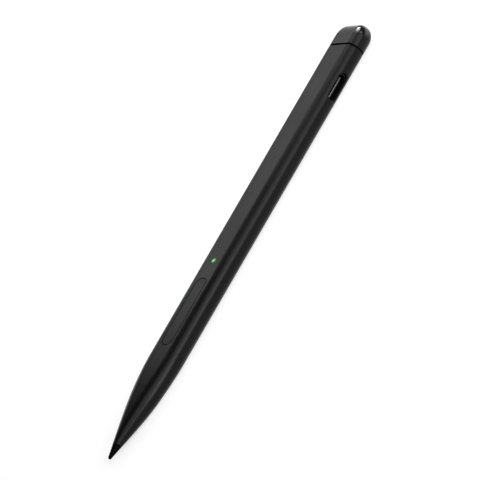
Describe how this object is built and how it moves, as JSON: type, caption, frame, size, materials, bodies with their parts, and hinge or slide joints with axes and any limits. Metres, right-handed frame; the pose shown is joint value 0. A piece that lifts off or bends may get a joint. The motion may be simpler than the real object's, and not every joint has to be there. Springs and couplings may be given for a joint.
{
  "type": "stylus pen",
  "caption": "Slim flat-oval stylus pen with a tapered nose, conical nib, long side button, status light, edge charging port and pressable tail cap.",
  "frame": {"origin": "middle of the pen's length and width, on the flat back face that it lies on", "axes": "+X along the pen to the nib, +Y to the edge with the charging port, +Z out of the face with the side button"},
  "size_m": [0.146, 0.0116, 0.0059],
  "materials": {
    "casing_black": "fine satin",
    "cap_black": "fine satin",
    "key_black": "fine satin",
    "nib_black": "matte",
    "lens_green": "lit window",
    "holder_grey": "moulded",
    "spring_steel": "bright wire",
    "copper": "bright strip",
    "sensor_steel": "stamped can",
    "chassis_grey": "moulded",
    "magnet_nickel": "plated",
    "board_green": "solder mask",
    "chip_black": "moulded",
    "can_silver": "lidded can",
    "antenna_white": "fired",
    "passive_tan": "fired",
    "screw_steel": "plain",
    "switch_black": "moulded",
    "stem_ivory": "moulded",
    "led_body": "moulded",
    "cell_foil": "pouch foil",
    "tape_grey": "foam",
    "tab_nickel": "strip",
    "flex_amber": "film",
    "port_steel": "drawn shell",
    "tongue_black": "moulded",
    "contact_gold": "plated",
    "frame_grey": "moulded"
  },
  "bodies": {
    "casing": {"barrel": "casing_black", "nib_spring": "spring_steel", "tilt_ring": "copper", "force_sensor": "sensor_steel", "sensor_pins": "contact_gold", "chassis": "chassis_grey", "magnets": "magnet_nickel", "main_board": "board_green", "controller_chip": "chip_black", "radio_chip": "chip_black", "crystal": "can_silver", "antenna_chip": "antenna_white", "board_passives": "passive_tan", "board_screws": "screw_steel", "side_switches": "switch_black", "status_led": "led_body", "led_lens": "lens_green", "battery": "cell_foil", "battery_tape": "tape_grey", "battery_tabs": "tab_nickel", "link_flex": "flex_amber", "port_board": "board_green", "port_shell": "port_steel", "port_tongue": "tongue_black", "port_contacts": "contact_gold", "charge_chip": "chip_black", "tail_frame": "frame_grey", "tail_switch": "switch_black", "tail_flex": "flex_amber"},
    "nib_carrier": {"nib_holder": "holder_grey"},
    "nib": {"nib": "nib_black"},
    "side_key": {"side_button": "key_black", "side_switch_stems": "stem_ivory"},
    "tail_key": {"tail_cap": "cap_black", "tail_switch_stem": "stem_ivory"}
  },
  "joints": [
    {"name": "nib_press", "type": "slide", "parent": "casing", "child": "nib_carrier", "axis": [-1, 0, 0], "range_m": [0, 0.0002], "stiffness_N_per_m": 8000, "deforming": ["nib_spring"]},
    {"name": "nib_pull", "type": "slide", "parent": "nib_carrier", "child": "nib", "axis": [1, 0, 0], "range_m": [0, 0.013]},
    {"name": "side_button_press", "type": "slide", "parent": "casing", "child": "side_key", "axis": [0, 0, -1], "range_m": [0, 0.00025], "stiffness_N_per_m": 6000},
    {"name": "tail_cap_press", "type": "slide", "parent": "casing", "child": "tail_key", "axis": [1, 0, 0], "range_m": [0, 0.0004], "stiffness_N_per_m": 5000}
  ]
}
